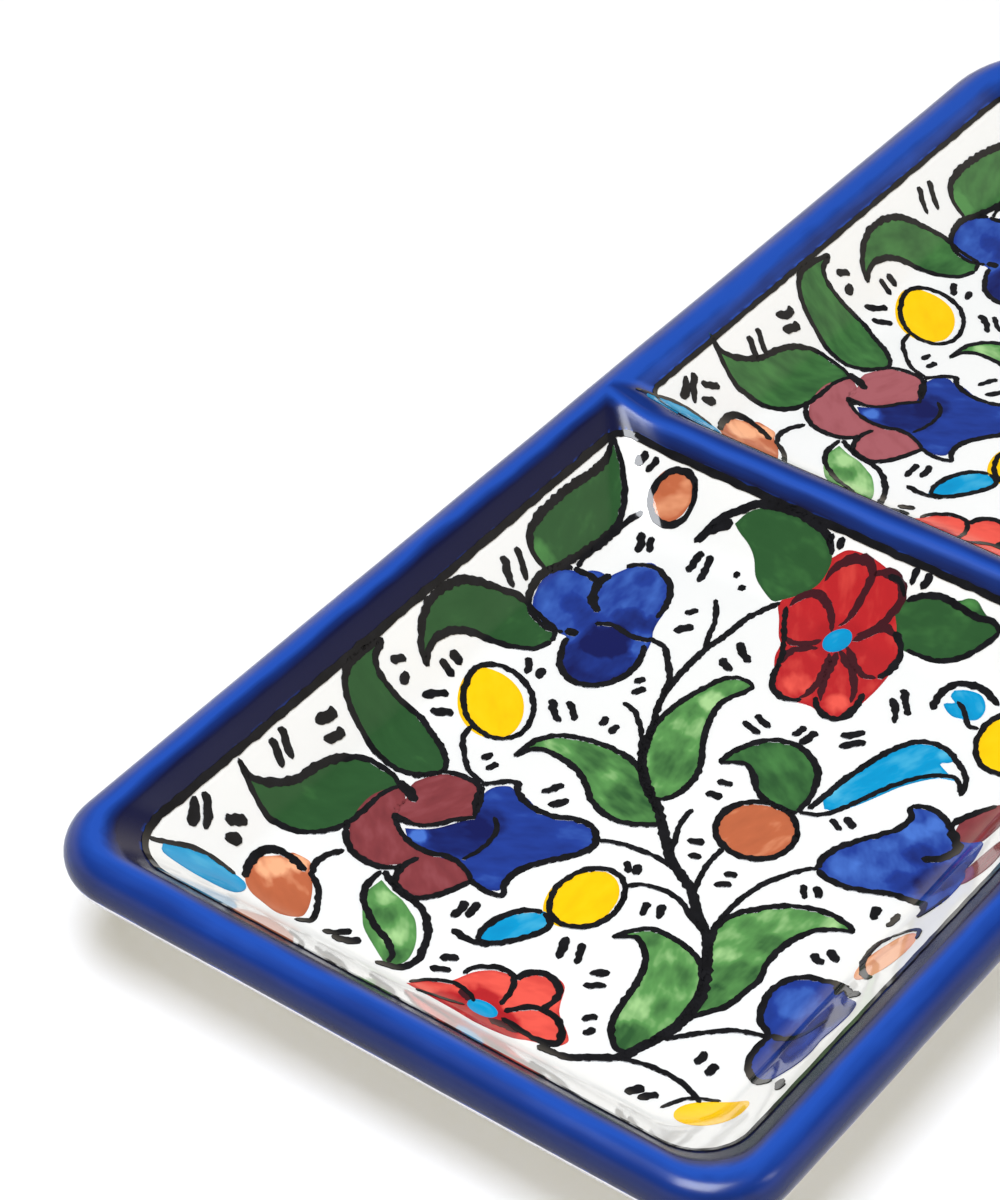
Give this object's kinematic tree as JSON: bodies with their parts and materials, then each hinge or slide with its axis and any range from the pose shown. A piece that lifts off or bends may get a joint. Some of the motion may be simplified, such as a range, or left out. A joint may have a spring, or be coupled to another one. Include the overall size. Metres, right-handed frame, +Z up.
{
  "type": "divided plate",
  "caption": "Rectangular glazed earthenware dish with two equal sloping wells, a rolled cobalt rim and divider, and a bare foot ring.",
  "frame": {"origin": "middle of the footprint, on the surface that the dish stands on", "axes": "+Z up, +Y along the length towards the far well, +X across"},
  "size_m": [0.11, 0.249, 0.021],
  "materials": {
    "biscuit_clay": "matte, fine grained biscuit clay",
    "cobalt_glaze": "glossy cobalt blue glaze",
    "white_glaze": "glossy white glaze",
    "black_line": "black brush line under clear glaze",
    "leaf_green": "green brush colour under clear glaze",
    "yellow_colour": "yellow brush colour under clear glaze",
    "orange_colour": "orange brown brush colour under clear glaze",
    "red_colour": "red brush colour under clear glaze",
    "maroon_colour": "maroon brush colour under clear glaze",
    "turquoise_colour": "turquoise brush colour under clear glaze"
  },
  "bodies": {
    "root": {"clay_body": "biscuit_clay", "rim_glaze": "cobalt_glaze", "divider_glaze": "cobalt_glaze", "near_well_glaze": "white_glaze", "far_well_glaze": "white_glaze", "outside_glaze": "white_glaze", "underside_glaze": "white_glaze"}
  },
  "joints": []
}
